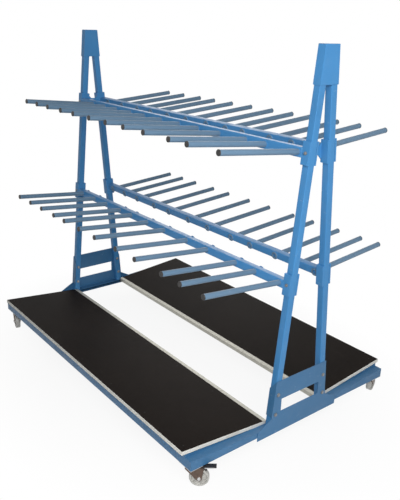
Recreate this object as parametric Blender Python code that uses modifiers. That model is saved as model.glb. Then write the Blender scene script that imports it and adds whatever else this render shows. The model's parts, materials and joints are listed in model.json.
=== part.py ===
import bmesh
import bpy
from math import atan, cos, pi, radians, sin, tan
from mathutils import Matrix, Vector

# A long two-sided material cart: two sloping plywood decks on a welded steel base with four casters,
# an A-shaped frame at each end, and four beams between them that carry twelve pegs each.
# Everything is in metres. X runs along the cart, Y across it, Z up, with the ground at zero.
# "Near" is the +X end, "far" the -X end, "front" the -Y side and "rear" the +Y side.

# Clearances, sheet, and shading and merging limits
GAP = 0.0003
HOLE_CLEARANCE = 0.0004
SHEET = 0.003
SMOOTH_BELOW = radians(35)
FACING = 0.5
MERGE = 0.00001
SCREW_MERGE = 0.0001

# Decks: inner edges low, outer edges raised, with a metal angle let into each inner edge
DECK_END_X = 1.050
DECK_OUTER_Y = 0.750
DECK_INNER_Y = 0.193
DECK_INNER_RISE = 0.040
DECK_TILT = radians(5.5)
DECK_THICK = 0.021
DECK_EDGE_BEVEL = 0.0015
TRIM_LIP = 0.025
TRIM_WEB = 0.025
TRIM_T = 0.002

# Base frame
END_BEAM_W = 0.045
END_BEAM_INSET = 0.020
END_BEAM_MIDDLE_H = 0.026
END_BEAM_TIP_H = 0.054
END_BEAM_LEVEL_HALF_LEN = 0.215
SIDE_RAIL_INSET = 0.020
SIDE_RAIL_TOP_FLANGE = 0.035
SIDE_RAIL_FOOT_FLANGE = 0.088
INNER_RAIL_INSET = 0.030
INNER_RAIL_FLANGE = 0.030
BEARER_W = 0.040
BEARER_PLACE_SHARES = (-1.0, 0.0, 1.0)

# Legs of the two end frames: square tubes that lean together towards the top
LEG_W = 0.040
LEG_WALL = 0.0025
LEG_CORNER = 0.004
LEG_Y_AT_FOOT = 0.187
LEG_Y_AT_TOP = 0.0242
LEG_TOP_Z = 2.0485

# Cap sleeve over the top of each pair of legs
CAP_CLEARANCE = 0.0005
CAP_H = 0.175
CAP_CORNER = 0.0024

# Gusset plate at the foot of each pair of legs
GUSSET_DROP = 0.020
GUSSET_H = 0.313
GUSSET_WAIST_RISE = 0.100
GUSSET_FOOT_EDGE_H = 0.050
GUSSET_FOOT_HALF_LEN = 0.300
GUSSET_FLANGE_KINK = 0.050
GUSSET_WINDOW_RISE = 0.126
GUSSET_WINDOW_H = 0.073
GUSSET_WINDOW_MARGIN = 0.0118
GUSSET_BOLT_RISE = (0.118, 0.233)
BOLT_R = 0.005
BOLT_HEAD_R = 0.0098
BOLT_HEAD_H = 0.0064
NUT_H = 0.008
BOLT_SIDES = 6

# Saddles that join beams and legs, and the tie across the upper pair
SADDLE_H = 0.112
SADDLE_WEB = 0.004
SADDLE_FLANGE = 0.010
TIE_MIDDLE_H = 0.042
TIE_FILLET = 0.024
TIE_FILLET_STEPS = 3

# Beams
BEAM_W = 0.040
BEAM_WALL = 0.003
BEAM_CORNER = 0.0045
BEAM_UPPER_DROP = 0.4761
BEAM_LEVEL_PITCH = 0.6421
BEAM_OUTBOARD = 0.010

# Pegs: tubes welded through the beams, open at the heel and closed at the tip
PEG_R = 0.0136
PEG_WALL = 0.002
PEG_TILT = radians(5.2)
PEG_REACH = 0.505
PEG_HEEL_R = 0.020
PEG_HEEL_T = 0.008
PEG_SIDES = 10
PEG_PLACE_SHARES = {
    "upper_front": (-0.839, -0.695, -0.553, -0.390, -0.244, -0.070, 0.098, 0.264, 0.438, 0.637, 0.770, 0.978),
    "lower_front": (-0.925, -0.763, -0.606, -0.440, -0.306, -0.130, 0.044, 0.258, 0.437, 0.666, 0.809, 0.976),
    "upper_rear": (-0.890, -0.716, -0.532, -0.382, -0.204, -0.024, 0.160, 0.323, 0.457, 0.657, 0.804, 0.964),
    "lower_rear": (-0.937, -0.782, -0.624, -0.420, -0.258, -0.053, 0.137, 0.348, 0.506, 0.698, 0.857, 0.976),
}

# Casters
CASTER_TURN = {"near_front": radians(48), "near_rear": radians(110),
               "far_front": radians(-15), "far_rear": radians(202)}
CASTER_BRAKED = ("near_front",)
CASTER_PLATE_X = 0.095
CASTER_PLATE_Y = 0.075
CASTER_PLATE_T = 0.003
RACE_R = 0.024
RACE_H = 0.0075
RACE_SIDES = 20
PIN_R = 0.006
PIN_SIDES = 12
WHEEL_R = 0.050
WHEEL_W = 0.032
WHEEL_HUB_W = 0.035
WHEEL_HUB_R = 0.015
WHEEL_RIM_INNER_R = 0.040
WHEEL_WEB_W = 0.016
WHEEL_SHOULDER = 0.004
WHEEL_SIDES = 24
WHEEL_HEADROOM = 0.0059
TRAIL = 0.042
FORK_PLATE_T = 0.003
FORK_CROWN_R = 0.028
FORK_EYE_R = 0.015
FORK_EYE_STEPS = 4
FORK_EYE_START = radians(-135)
FORK_EYE_SWEEP = radians(153)
AXLE_R = 0.005
AXLE_HEAD_R = 0.0085
AXLE_HEAD_H = 0.005
AXLE_SIDES = 8

# Brake pedals: a toe plate behind a pivot, with a shoe that comes down on the tread
PEDAL_W = 0.030
PEDAL_PIVOT_BACK = 0.016
PEDAL_PIVOT_DROP = 0.001
PEDAL_PIVOT_R = 0.0025
PEDAL_EAR_R = 0.006
PEDAL_BOSS_R = 0.005
PEDAL_TOE = 0.067
PEDAL_TOE_RISE = 0.008
PEDAL_TOE_T = 0.004
PEDAL_SHOE_X = 0.016
PEDAL_SHOE_T = 0.008
PEDAL_SHOE_GAP = 0.003

# Finishes, each as linear colour, roughness and metalness
FINISHES = {
    "blue_paint": ((0.085, 0.270, 0.540, 1.0), 0.42, 0.0),
    "film_plywood": ((0.022, 0.019, 0.017, 1.0), 0.65, 0.0),
    "pale_aluminium": ((0.420, 0.405, 0.365, 1.0), 0.45, 0.6),
    "zinc_steel": ((0.520, 0.530, 0.540, 1.0), 0.35, 0.9),
    "fork_steel": ((0.300, 0.270, 0.230, 1.0), 0.40, 0.8),
    "grey_nylon": ((0.560, 0.570, 0.550, 1.0), 0.48, 0.0),
    "black_plastic": ((0.020, 0.019, 0.018, 1.0), 0.50, 0.0),
}

# Derived places
SIDES = (("front", -1), ("rear", 1))
ENDS = (("near", 1), ("far", -1))
BASE_Z = 2 * WHEEL_R + WHEEL_HEADROOM + FORK_PLATE_T + RACE_H + CASTER_PLATE_T + 2 * GAP
DECK_INNER_TOP_Z = BASE_Z + DECK_INNER_RISE
END_BEAM_HALF_LEN = DECK_OUTER_Y - END_BEAM_INSET
LEG_OUT_X = DECK_END_X + GAP + END_BEAM_W
LEG_IN_X = LEG_OUT_X - LEG_W
LEG_MID_X = LEG_OUT_X - LEG_W / 2
LEG_FOOT_Z = BASE_Z + END_BEAM_MIDDLE_H + GAP
LEG_LEAN_SLOPE = (LEG_Y_AT_FOOT - LEG_Y_AT_TOP) / (LEG_TOP_Z - LEG_FOOT_Z)
LEG_LEAN = atan(LEG_LEAN_SLOPE)
LEG_CUT_HALF = LEG_W / 2 / cos(LEG_LEAN)
CAP_TOP_Z = LEG_TOP_Z + CAP_CLEARANCE + SHEET
SIDE_RAIL_Y = DECK_OUTER_Y - SIDE_RAIL_INSET
INNER_RAIL_Y = DECK_INNER_Y + INNER_RAIL_INSET
WEB_OUT_X = LEG_IN_X - GAP
WEB_IN_X = WEB_OUT_X - SADDLE_WEB
BEAM_END_X = WEB_IN_X - GAP
BEAM_Z_UPPER = LEG_TOP_Z - BEAM_UPPER_DROP
BEAM_Z_LOWER = BEAM_Z_UPPER - BEAM_LEVEL_PITCH
GUSSET_X = LEG_OUT_X + GAP
GUSSET_FOOT_Z = BASE_Z - GUSSET_DROP
GUSSET_FOOT_EDGE_Z = GUSSET_FOOT_Z + GUSSET_FOOT_EDGE_H
GUSSET_WAIST_Z = GUSSET_FOOT_Z + GUSSET_WAIST_RISE
GUSSET_TOP_Z = GUSSET_FOOT_Z + GUSSET_H
GUSSET_WINDOW_LOW_Z = GUSSET_FOOT_Z + GUSSET_WINDOW_RISE
GUSSET_WINDOW_TOP_Z = GUSSET_WINDOW_LOW_Z + GUSSET_WINDOW_H
CASTER_X = LEG_OUT_X - GAP - CASTER_PLATE_X / 2
CASTER_Y = END_BEAM_HALF_LEN - GAP - CASTER_PLATE_Y / 2
PLATE_TOP = BASE_Z - GAP
PLATE_FOOT = PLATE_TOP - CASTER_PLATE_T
FORK_TOP = PLATE_FOOT - RACE_H - GAP
CROWN_UNDER = FORK_TOP - FORK_PLATE_T
FORK_HALF_IN = WHEEL_HUB_W / 2 + GAP
FORK_HALF_OUT = FORK_HALF_IN + FORK_PLATE_T
PEDAL_PIVOT_X = TRAIL + PEDAL_PIVOT_BACK


def deck_top(y):
    return DECK_INNER_TOP_Z + (y - DECK_INNER_Y) * tan(DECK_TILT)


def rail_top(y):
    return deck_top(y) - DECK_THICK / cos(DECK_TILT) - GAP


def leg_y(z):
    return LEG_Y_AT_FOOT - LEG_LEAN_SLOPE * (z - LEG_FOOT_Z)


# Scene set-up
for old in list(bpy.data.objects):
    bpy.data.objects.remove(old)
parts = bpy.data.collections.new("long_material_cart")
cutters = bpy.data.collections.new("cutters")
bpy.context.scene.collection.children.link(parts)
bpy.context.scene.collection.children.link(cutters)


def add_object(name, mesh, slot, matrix, parent):
    # A shape without a finish is a helper for a Boolean and stays among the cutters
    obj = bpy.data.objects.new(name, mesh)
    if slot:
        colour, rough, metal = FINISHES[slot]
        mat = bpy.data.materials.new(name + "_" + slot)
        mat.use_nodes = True
        shader = mat.node_tree.nodes["Principled BSDF"]
        shader.inputs["Base Color"].default_value = colour
        shader.inputs["Roughness"].default_value = rough
        shader.inputs["Metallic"].default_value = metal
        mat.diffuse_color = colour
        mesh.materials.append(mat)
        parts.objects.link(obj)
    else:
        obj.hide_render = True
        obj.display_type = "WIRE"
        cutters.objects.link(obj)
    obj.parent = parent
    obj.matrix_local = matrix
    return obj


def mesh_object(name, bm, slot=None, matrix=Matrix(), parent=None):
    mesh = bpy.data.meshes.new(name)
    bm.to_mesh(mesh)
    bm.free()
    return add_object(name, mesh, slot, matrix, parent)


def box(name, size, centre, slot=None, matrix=Matrix(), parent=None, open_ends=None):
    # open_ends is the axis whose two end faces are left out, for a tube
    bm = bmesh.new()
    bmesh.ops.create_cube(bm, size=1)
    bmesh.ops.scale(bm, vec=size, verts=bm.verts)
    if open_ends is not None:
        ends = [f for f in bm.faces if abs(f.normal[open_ends]) > FACING]
        bmesh.ops.delete(bm, geom=ends, context="FACES_ONLY")
    bmesh.ops.translate(bm, vec=centre, verts=bm.verts)
    return mesh_object(name, bm, slot, matrix, parent)


def rods(name, spans, sides, slot=None, matrix=Matrix(), parent=None):
    # Plain cylinders, one for each (start, end, radius)
    bm = bmesh.new()
    for start, end, radius in spans:
        span = Vector(end) - Vector(start)
        turn = span.to_track_quat("Z", "Y").to_matrix().to_4x4()
        place = Matrix.Translation(Vector(start) + span / 2) @ turn
        bmesh.ops.create_cone(bm, cap_ends=True, segments=sides, radius1=radius, radius2=radius,
                              depth=span.length, matrix=place)
    return mesh_object(name, bm, slot, matrix, parent)


def plate(name, outlines, thickness, slot=None, matrix=Matrix(), parent=None):
    # A flat shape in its own XY plane; outlines after the first are holes
    curve = bpy.data.curves.new(name, "CURVE")
    curve.dimensions = "2D"
    curve.fill_mode = "BOTH"
    curve.extrude = thickness / 2
    for outline in outlines:
        spline = curve.splines.new("POLY")
        spline.points.add(len(outline) - 1)
        for point, (a, b) in zip(spline.points, outline):
            point.co = (a, b, 0, 1)
        spline.use_cyclic_u = True
    drawn = bpy.data.objects.new(name + "_outline", curve)
    cutters.objects.link(drawn)
    bpy.context.view_layer.update()
    evaluated = drawn.evaluated_get(bpy.context.evaluated_depsgraph_get())
    mesh = bpy.data.meshes.new_from_object(evaluated)
    bpy.data.objects.remove(drawn)
    bm = bmesh.new()
    bm.from_mesh(mesh)
    bpy.data.meshes.remove(mesh)
    bmesh.ops.remove_doubles(bm, verts=bm.verts, dist=MERGE)
    bmesh.ops.recalc_face_normals(bm, faces=bm.faces)
    return mesh_object(name, bm, slot, matrix, parent)


def turned(name, profile, steps, slot, matrix=Matrix(), parent=None, closed=False):
    # profile points are (radius, height), down the outer side from the top
    bm = bmesh.new()
    points = [bm.verts.new((radius, 0, height)) for radius, height in profile]
    pairs = list(zip(points, points[1:]))
    if closed:
        pairs.append((points[-1], points[0]))
    for pair in pairs:
        bm.edges.new(pair)
    obj = mesh_object(name, bm, slot, matrix, parent)
    screw = obj.modifiers.new("turn", "SCREW")
    screw.axis = "Z"
    screw.steps = steps
    screw.render_steps = steps
    screw.use_merge_vertices = True
    screw.merge_threshold = SCREW_MERGE
    return obj


def folded_sheet(name, fold, stations, axis, inside, slot, height=None, closed_ends=False, wall=SHEET):
    # fold is a chain of points at the first station; height, if given, sets the upper points' z along the way
    bm = bmesh.new()
    chain = [bm.verts.new(p) for p in fold]
    edges = [bm.edges.new(pair) for pair in zip(chain, chain[1:])]
    if closed_ends:
        bm.faces.new(chain)
    for here, there in zip(stations, stations[1:]):
        grown = bmesh.ops.extrude_edge_only(bm, edges=edges)["geom"]
        fresh = {g for g in grown if isinstance(g, bmesh.types.BMVert)}
        step = Vector((0, 0, 0))
        step[axis] = there - here
        bmesh.ops.translate(bm, vec=step, verts=list(fresh))
        edges = [g for g in grown if isinstance(g, bmesh.types.BMEdge) and set(g.verts) <= fresh]
    if closed_ends:
        bmesh.ops.contextual_create(bm, geom=edges)
    if height:
        for v in bm.verts:
            if v.co.z > inside[2]:
                v.co.z = height(v.co[axis])
    bmesh.ops.recalc_face_normals(bm, faces=bm.faces)
    face = max(bm.faces, key=lambda f: f.calc_area())
    if face.normal.dot(Vector(inside) - face.calc_center_median()) > 0:
        bmesh.ops.reverse_faces(bm, faces=bm.faces)
    obj = mesh_object(name, bm, slot)
    solidify(obj, wall)
    return obj


def solidify(obj, wall):
    mod = obj.modifiers.new("wall", "SOLIDIFY")
    mod.thickness = wall
    mod.offset = -1
    mod.use_even_offset = True


def bevel(obj, width, segments=2):
    mod = obj.modifiers.new("round", "BEVEL")
    mod.width = width
    mod.segments = segments
    mod.limit_method = "ANGLE"


def combine(obj, tool, operation):
    mod = obj.modifiers.new(tool.name, "BOOLEAN")
    mod.operation = operation
    mod.solver = "EXACT"
    mod.object = tool


def smooth(obj):
    obj.data.shade_smooth()
    obj.data.set_sharp_from_angle(angle=SMOOTH_BELOW)


# Base: a high outer rail and a low inner rail under each deck, joined by cross bearers
for side, s in SIDES:
    tip = SIDE_RAIL_Y - SIDE_RAIL_TOP_FLANGE
    foot_tip = SIDE_RAIL_Y - SIDE_RAIL_FOOT_FLANGE
    fold = [(-DECK_END_X, s * tip, rail_top(tip)), (-DECK_END_X, s * SIDE_RAIL_Y, rail_top(SIDE_RAIL_Y)),
            (-DECK_END_X, s * SIDE_RAIL_Y, BASE_Z), (-DECK_END_X, s * foot_tip, BASE_Z)]
    inside = (0, s * tip, BASE_Z + END_BEAM_MIDDLE_H)
    folded_sheet("side_rail_" + side, fold, (-DECK_END_X, DECK_END_X), 0, inside, "blue_paint")

    tip = INNER_RAIL_Y + INNER_RAIL_FLANGE
    fold = [(-DECK_END_X, s * tip, rail_top(tip)), (-DECK_END_X, s * INNER_RAIL_Y, rail_top(INNER_RAIL_Y)),
            (-DECK_END_X, s * INNER_RAIL_Y, BASE_Z), (-DECK_END_X, s * tip, BASE_Z)]
    inside = (0, s * tip, BASE_Z + SHEET)
    folded_sheet("inner_rail_" + side, fold, (-DECK_END_X, DECK_END_X), 0, inside, "blue_paint")

    # The bearers lie inside both rails, so they are as deep as the room between the flanges
    y_low = INNER_RAIL_Y + SHEET + GAP
    y_high = SIDE_RAIL_Y - SHEET - GAP
    z_low = BASE_Z + SHEET + GAP
    for k, share in enumerate(BEARER_PLACE_SHARES):
        x = share * DECK_END_X
        x_flange = x - BEARER_W if share > 0 else x + BEARER_W
        z_top = rail_top(y_low) - SHEET - 2 * GAP
        fold = [(x_flange, s * y_low, z_low), (x, s * y_low, z_low), (x, s * y_low, z_top),
                (x_flange, s * y_low, z_top)]
        inside = (x_flange, s * y_low, (z_low + z_top) / 2)
        folded_sheet("bearer_%s_%d" % (side, k + 1), fold, (s * y_low, s * y_high), 1, inside, "blue_paint",
                     lambda y: rail_top(abs(y)) - SHEET - 2 * GAP)

    # Deck board, tilted about the cart's long axis
    across = Vector((0, s * cos(DECK_TILT), sin(DECK_TILT)))
    up = Vector((0, -s * sin(DECK_TILT), cos(DECK_TILT)))
    width = (DECK_OUTER_Y - DECK_INNER_Y) / cos(DECK_TILT)
    inner_edge = Vector((0, s * DECK_INNER_Y, DECK_INNER_TOP_Z))
    middle = inner_edge + across * width / 2 - up * DECK_THICK / 2
    lay = Matrix.Translation(middle) @ Matrix.Rotation(s * DECK_TILT, 4, "X")
    deck = box("deck_" + side, (2 * DECK_END_X, width, DECK_THICK), (0, 0, 0), "film_plywood", lay)
    bevel(deck, DECK_EDGE_BEVEL, 1)
    rebate_size = (2 * (DECK_END_X + SHEET), 2 * (TRIM_LIP - TRIM_T), 2 * (TRIM_T + GAP))
    rebate = box("rebate_" + side, rebate_size, (0, -s * width / 2, DECK_THICK / 2), None, lay)
    combine(deck, rebate, "DIFFERENCE")

    # Metal angle over the inner edge: a lip flush with the board and a web down its edge
    lip_end = inner_edge + across * (TRIM_LIP - TRIM_T - GAP)
    corner = inner_edge - across * (GAP + TRIM_T)
    web_end = corner - up * TRIM_WEB
    fold = [point - Vector((DECK_END_X, 0, 0)) for point in (lip_end, corner, web_end)]
    folded_sheet("edge_trim_" + side, fold, (-DECK_END_X, DECK_END_X), 0, middle, "pale_aluminium",
                 wall=TRIM_T)


# End beams: folded channels open to the inside, deeper at their tips than in the middle
def end_beam_top(y):
    slope = (END_BEAM_TIP_H - END_BEAM_MIDDLE_H) / (END_BEAM_HALF_LEN - END_BEAM_LEVEL_HALF_LEN)
    return BASE_Z + END_BEAM_MIDDLE_H + max(0, abs(y) - END_BEAM_LEVEL_HALF_LEN) * slope


for end, e in ENDS:
    x_in = e * (DECK_END_X + GAP)
    x_out = e * LEG_OUT_X
    z_top = BASE_Z + END_BEAM_TIP_H
    stations = (-END_BEAM_HALF_LEN, -END_BEAM_LEVEL_HALF_LEN, END_BEAM_LEVEL_HALF_LEN, END_BEAM_HALF_LEN)
    fold = [(x_in, stations[0], BASE_Z), (x_out, stations[0], BASE_Z), (x_out, stations[0], z_top),
            (x_in, stations[0], z_top)]
    inside = (x_in, 0, BASE_Z + END_BEAM_MIDDLE_H / 2)
    folded_sheet("end_beam_" + end, fold, stations, 1, inside, "blue_paint", end_beam_top, closed_ends=True)


# End frames
def leg_frame(e, s, z):
    # Centre of a leg at height z, with its own Z along the leg and its Y square to the leg's sides
    return Matrix.Translation((e * LEG_MID_X, s * leg_y(z), z)) @ Matrix.Rotation(s * LEG_LEAN, 4, "X")


def saddle(name, e, s, z, slot=None):
    # A web between beam and leg, and two thick flanges that clasp the leg
    half = LEG_W / 2 + GAP
    edge = half + SADDLE_FLANGE
    x_web_in = WEB_IN_X - LEG_MID_X
    x_web_out = WEB_OUT_X - LEG_MID_X
    outline = [(x_web_in, -edge), (LEG_W / 2, -edge), (LEG_W / 2, -half), (x_web_out, -half),
               (x_web_out, half), (LEG_W / 2, half), (LEG_W / 2, edge), (x_web_in, edge)]
    return plate(name, [[(e * a, b) for a, b in outline]], SADDLE_H, slot, leg_frame(e, s, z))


bolt_holes = {}
for end, e in ENDS:
    for side, s in SIDES:
        # The leg stands upright first, then its top is pushed inward; both ends stay level
        height = LEG_TOP_Z - LEG_FOOT_Z
        stand = Matrix.Translation((e * LEG_MID_X, s * LEG_Y_AT_FOOT, LEG_FOOT_Z))
        leg = box("leg_%s_%s" % (end, side), (LEG_W, 2 * LEG_CUT_HALF, height), (0, 0, height / 2),
                  "blue_paint", stand, open_ends=2)
        for v in leg.data.vertices:
            v.co.y -= s * LEG_LEAN_SLOPE * v.co.z
        bevel(leg, LEG_CORNER)
        solidify(leg, LEG_WALL)
        smooth(leg)
        spans = []
        for level, rise in zip(("low", "high"), GUSSET_BOLT_RISE):
            z = GUSSET_FOOT_Z + rise
            y = s * leg_y(z)
            spans.append(((e * (LEG_IN_X - SHEET), y, z), (e * (GUSSET_X + 2 * SHEET), y, z),
                          BOLT_R + HOLE_CLEARANCE))
            # Bolt through gusset and leg, head outside and nut inside; its own Z points outward
            seat = GUSSET_X + SHEET + GAP
            shank = seat - (LEG_IN_X - GAP)
            profile = [(0, BOLT_HEAD_H), (BOLT_HEAD_R, BOLT_HEAD_H), (BOLT_HEAD_R, 0), (BOLT_R, 0),
                       (BOLT_R, -shank), (BOLT_HEAD_R, -shank), (BOLT_HEAD_R, -shank - NUT_H),
                       (0, -shank - NUT_H)]
            turned("gusset_bolt_%s_%s_%s" % (end, side, level), profile, BOLT_SIDES, "zinc_steel",
                   Matrix.Translation((e * seat, y, z)) @ Matrix.Rotation(e * pi / 2, 4, "Y"))
        bolt_holes[end, side] = rods("bolt_holes_%s_%s" % (end, side), spans, BOLT_SIDES)
        combine(leg, bolt_holes[end, side], "DIFFERENCE")
        saddle("saddle_lower_%s_%s" % (end, side), e, s, BEAM_Z_LOWER, "blue_paint")

    # Upper tie: a thin waist between two saddles, with a fillet where it meets each of them
    reach = leg_y(BEAM_Z_UPPER) - LEG_CUT_HALF - SADDLE_FLANGE / 2
    corner = []
    for k in range(TIE_FILLET_STEPS + 1):
        a = pi / 2 * k / TIE_FILLET_STEPS
        corner.append((reach - TIE_FILLET * sin(a), TIE_MIDDLE_H / 2 + TIE_FILLET * (1 - cos(pi / 2 - a))))
    upper = corner + [(-y, h) for y, h in reversed(corner)]
    outline = upper + [(y, -h) for y, h in reversed(upper)]
    stand_up = Matrix.Translation((e * (WEB_IN_X + WEB_OUT_X) / 2, 0, BEAM_Z_UPPER)) @ Matrix(
        ((0, 0, 1, 0), (1, 0, 0, 0), (0, 1, 0, 0), (0, 0, 0, 1)))
    tie = plate("saddle_tie_upper_" + end, [outline], SADDLE_WEB, "blue_paint", stand_up)
    for side, s in SIDES:
        combine(tie, saddle("saddle_upper_%s_%s" % (end, side), e, s, BEAM_Z_UPPER), "UNION")

    # Cap sleeve: a lid and four walls round both legs
    half_top = leg_y(CAP_TOP_Z) + LEG_CUT_HALF + GAP + SHEET
    half_foot = leg_y(CAP_TOP_Z - CAP_H) + LEG_CUT_HALF + GAP + SHEET
    size = (LEG_W + 2 * (GAP + SHEET), 2 * half_foot, CAP_H)
    cap = box("cap_sleeve_" + end, size, (0, 0, -CAP_H / 2), "blue_paint",
              Matrix.Translation((e * LEG_MID_X, 0, CAP_TOP_Z)))
    bm = bmesh.new()
    bm.from_mesh(cap.data)
    bmesh.ops.delete(bm, geom=[f for f in bm.faces if f.normal.z < -FACING], context="FACES_ONLY")
    for v in bm.verts:
        if v.co.z > -CAP_H / 2:
            v.co.y *= half_top / half_foot
    bm.to_mesh(cap.data)
    bm.free()
    bevel(cap, CAP_CORNER)
    solidify(cap, SHEET)
    smooth(cap)


# Foot gussets: a plate across both legs with a window, folded back along the legs' outer sides
def gusset_edge(z):
    # The plate stands a little proud of its flanges
    return leg_y(z) + LEG_CUT_HALF + 2 * GAP + SHEET


for end, e in ENDS:
    half = [(gusset_edge(GUSSET_TOP_Z), GUSSET_TOP_Z), (gusset_edge(GUSSET_WAIST_Z), GUSSET_WAIST_Z),
            (GUSSET_FOOT_HALF_LEN, GUSSET_FOOT_EDGE_Z), (GUSSET_FOOT_HALF_LEN, GUSSET_FOOT_Z)]
    outlines = [half + [(-y, z) for y, z in reversed(half)]]
    low, top = GUSSET_WINDOW_LOW_Z, GUSSET_WINDOW_TOP_Z
    y = leg_y(top) - LEG_CUT_HALF - GUSSET_WINDOW_MARGIN
    outlines.append([(-y, low), (y, low), (y, top), (-y, top)])
    upright = Matrix.Translation((e * (GUSSET_X + SHEET / 2), 0, 0)) @ Matrix(
        ((0, 0, 1, 0), (1, 0, 0, 0), (0, 1, 0, 0), (0, 0, 0, 1)))
    gusset = plate("foot_gusset_" + end, outlines, SHEET, "blue_paint", upright)
    for side, s in SIDES:
        z_mid = (GUSSET_WAIST_Z + GUSSET_TOP_Z) / 2
        long = (GUSSET_TOP_Z - GUSSET_WAIST_Z) / 2 - SHEET
        near_x = LEG_W / 2 + GAP + SHEET / 2
        outline = [(near_x, -long), (near_x, long), (-LEG_W / 2, long - GUSSET_FLANGE_KINK),
                   (-LEG_W / 2, -long)]
        lay = leg_frame(e, s, z_mid) @ Matrix.Translation((0, s * (LEG_W / 2 + GAP + SHEET / 2), 0))
        lay = lay @ Matrix(((1, 0, 0, 0), (0, 0, 1, 0), (0, 1, 0, 0), (0, 0, 0, 1)))
        outline = [(e * a, b) for a, b in outline]
        flange = plate("gusset_flange_%s_%s" % (end, side), [outline], SHEET, None, lay)
        combine(gusset, flange, "UNION")
        combine(gusset, bolt_holes[end, side], "DIFFERENCE")

# Peg beams: a square tube with twelve pegs welded through it
for row, shares in PEG_PLACE_SHARES.items():
    places = [share * BEAM_END_X for share in shares]
    s = -1 if row.endswith("front") else 1
    z = BEAM_Z_UPPER if row.startswith("upper") else BEAM_Z_LOWER
    lay = Matrix.Translation((0, s * (leg_y(z) + BEAM_OUTBOARD), z)) @ Matrix.Rotation(s * PEG_TILT, 4, "X")
    beam = box("peg_beam_" + row, (2 * BEAM_END_X, BEAM_W, BEAM_W), (0, 0, 0), "blue_paint", lay, open_ends=0)
    bevel(beam, BEAM_CORNER)
    solidify(beam, BEAM_WALL)
    smooth(beam)
    heel = -BEAM_W / 2 - PEG_HEEL_T
    tip = PEG_REACH
    collar_end = heel + PEG_HEEL_T + BEAM_WALL / 2

    def row_of_rods(kind, y_start, y_end, radius):
        spans = [((x, s * y_start, 0), (x, s * y_end, 0), radius) for x in places]
        return rods(kind + "_" + row, spans, PEG_SIDES, None, lay)

    pegs = row_of_rods("pegs", heel, tip, PEG_R)
    collars = row_of_rods("collars", heel, collar_end, PEG_HEEL_R)
    bores = row_of_rods("bores", heel - PEG_WALL, tip - PEG_WALL, PEG_R - PEG_WALL)
    combine(beam, pegs, "UNION")
    combine(beam, collars, "UNION")
    combine(beam, bores, "DIFFERENCE")

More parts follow.
